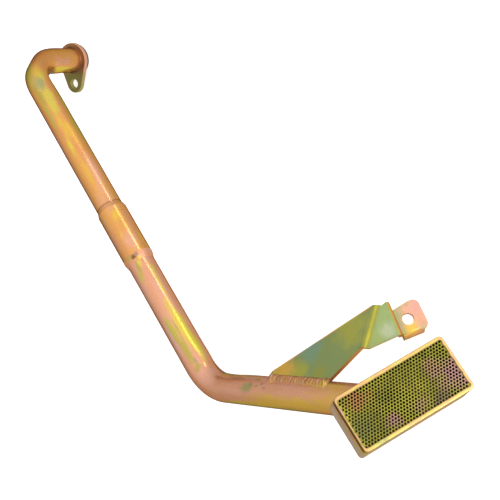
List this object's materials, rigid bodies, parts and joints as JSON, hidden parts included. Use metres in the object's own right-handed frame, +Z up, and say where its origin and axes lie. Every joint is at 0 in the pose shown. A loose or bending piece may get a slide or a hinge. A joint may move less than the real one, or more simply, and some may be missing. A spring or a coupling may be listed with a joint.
{
  "type": "oil pickup tube",
  "caption": "Welded steel oil pickup tube: a bent suction pipe with a perforated box strainer at one end, a one-bolt spigot flange at the other and a bent sheet bracket.",
  "frame": {"origin": "on the floor under the middle of the part's box, the part lying as it comes to rest", "axes": "+Z up; +X along the floor from the lower bend towards the flange; +Y across it, to the outside of the lower bend"},
  "size_m": [0.566, 0.2293, 0.106],
  "materials": {
    "plated_tube": "yellow passivated zinc plate, satin, iridescent from gold to pink and green",
    "plated_flange": "yellow passivated zinc plate, satin, iridescent from gold to pink and green",
    "plated_sheet": "yellow passivated zinc plate, satin, iridescent from gold to pink and green",
    "plated_strainer": "yellow passivated zinc plate, satin, iridescent from gold to pink and green",
    "plated_weld": "plated weld bead, rippled, with darker toes",
    "ring_rubber": "matte black rubber"
  },
  "bodies": {
    "root": {"upper_tube": "plated_tube", "lower_tube": "plated_tube", "socket_weld": "plated_weld", "flange": "plated_flange", "flange_weld": "plated_weld", "sealing_ring": "ring_rubber", "strainer_hood": "plated_strainer", "hood_weld": "plated_weld", "strainer_plate": "plated_strainer", "bracket": "plated_sheet", "bracket_weld": "plated_weld"}
  },
  "joints": []
}
